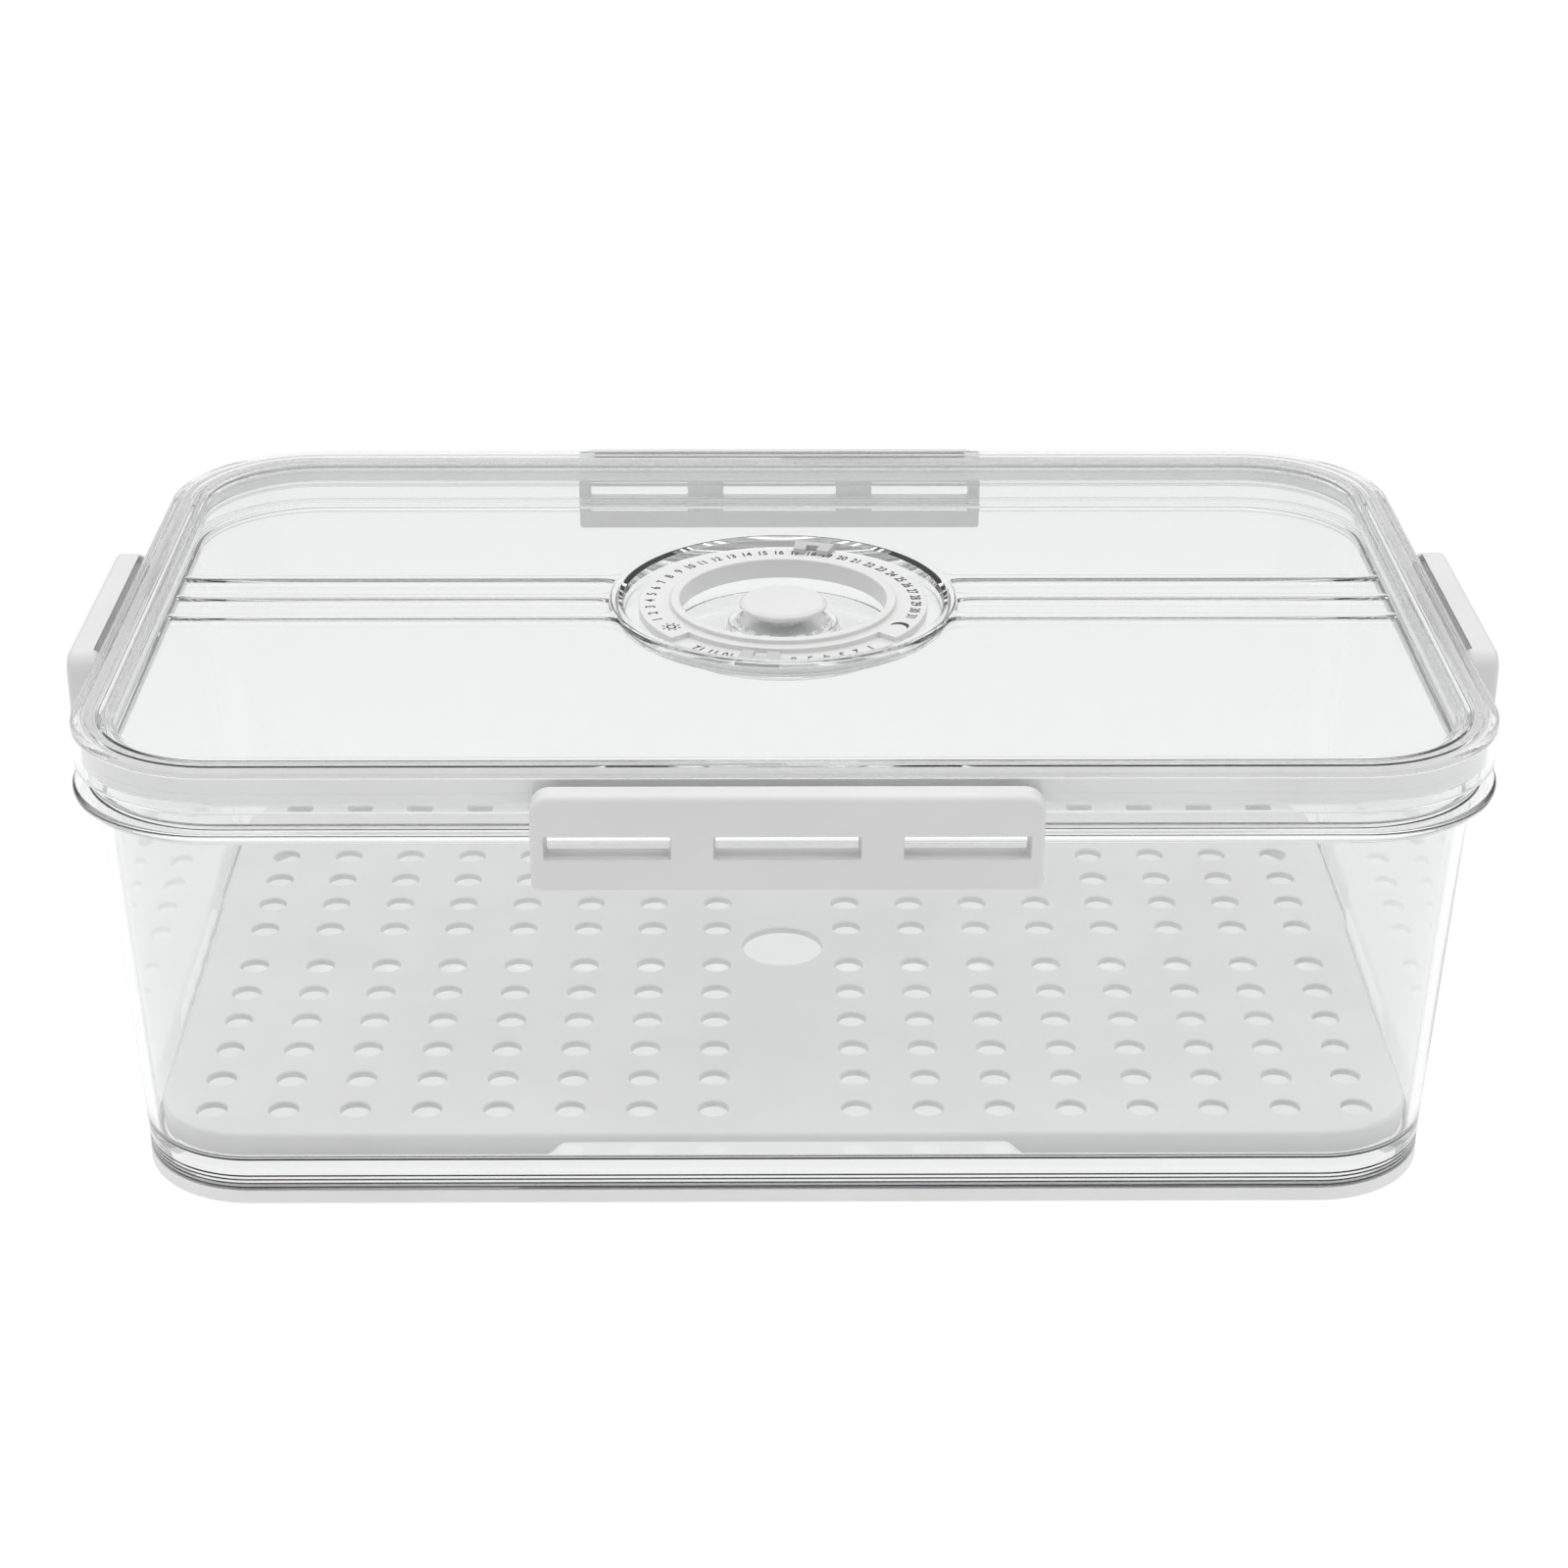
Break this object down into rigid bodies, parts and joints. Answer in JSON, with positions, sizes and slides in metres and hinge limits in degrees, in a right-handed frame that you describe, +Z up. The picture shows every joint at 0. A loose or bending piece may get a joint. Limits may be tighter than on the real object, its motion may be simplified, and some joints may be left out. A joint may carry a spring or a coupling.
{
  "type": "food storage bin",
  "caption": "Clear flared storage bin with a lift-out drain tray, a gasketed clear lid with hinged side latches, a date dial with sliders and a press-to-vent button.",
  "frame": {"origin": "on the ground, under the centre of the bin", "axes": "+X along the bin's length, +Y from the front latch to the back latch, +Z up"},
  "size_m": [0.342, 0.2274, 0.1166],
  "materials": {
    "clear_plastic": "clear polished plastic",
    "white_plastic": "satin white plastic",
    "dial_plastic": "smooth white plastic",
    "white_silicone": "matt white silicone",
    "foot_band": "matt soft white rubber",
    "dial_ink": "dark printed numbers"
  },
  "bodies": {
    "bin": {"bin_body": "clear_plastic", "base_band": "foot_band"},
    "tray": {"drain_tray": "white_plastic"},
    "lid": {"lid_shell": "clear_plastic", "lid_gasket": "white_silicone", "vent_cup": "clear_plastic", "dial_ring": "dial_plastic"},
    "latch_front": {"latch_front": "white_plastic", "hinge_pin_front": "white_plastic"},
    "latch_back": {"latch_back": "white_plastic", "hinge_pin_back": "white_plastic"},
    "latch_left": {"latch_left": "white_plastic", "hinge_pin_left": "white_plastic"},
    "latch_right": {"latch_right": "white_plastic", "hinge_pin_right": "white_plastic"},
    "day_slider": {"day_slider": "dial_plastic"},
    "month_slider": {"month_slider": "dial_plastic"},
    "button": {"vent_button": "dial_plastic", "vent_stem": "dial_plastic", "vent_seal": "white_silicone", "stem_clip": "dial_plastic"}
  },
  "joints": [
    {"name": "lid_lift", "type": "slide", "parent": "bin", "child": "lid", "axis": [0, 0, 1], "range_m": [0, 0.15]},
    {"name": "tray_lift", "type": "slide", "parent": "bin", "child": "tray", "axis": [0, 0, 1], "range_m": [0, 0.06]},
    {"name": "latch_front_hinge", "type": "hinge", "parent": "lid", "child": "latch_front", "pos_m": [0, -0.1086, 0.1114], "axis": [-1, 0, 0], "range_deg": [0, 90]},
    {"name": "latch_back_hinge", "type": "hinge", "parent": "lid", "child": "latch_back", "pos_m": [0, 0.1086, 0.1114], "axis": [1, 0, 0], "range_deg": [0, 90]},
    {"name": "latch_left_hinge", "type": "hinge", "parent": "lid", "child": "latch_left", "pos_m": [-0.1659, 0, 0.1114], "axis": [0, 1, 0], "range_deg": [0, 90]},
    {"name": "latch_right_hinge", "type": "hinge", "parent": "lid", "child": "latch_right", "pos_m": [0.1659, 0, 0.1114], "axis": [0, -1, 0], "range_deg": [0, 90]},
    {"name": "day_slide", "type": "hinge", "parent": "lid", "child": "day_slider", "pos_m": [0, 0, 0.1138], "axis": [0, 0, 1], "range_deg": [-94.9, 124.2]},
    {"name": "month_slide", "type": "hinge", "parent": "lid", "child": "month_slider", "pos_m": [0, 0, 0.1128], "axis": [0, 0, 1], "range_deg": [-27.2, 47.7]},
    {"name": "vent_press", "type": "slide", "parent": "lid", "child": "button", "axis": [0, 0, -1], "range_m": [0, 0.003], "stiffness_N_per_m": 400, "springref_m": -0.001}
  ]
}
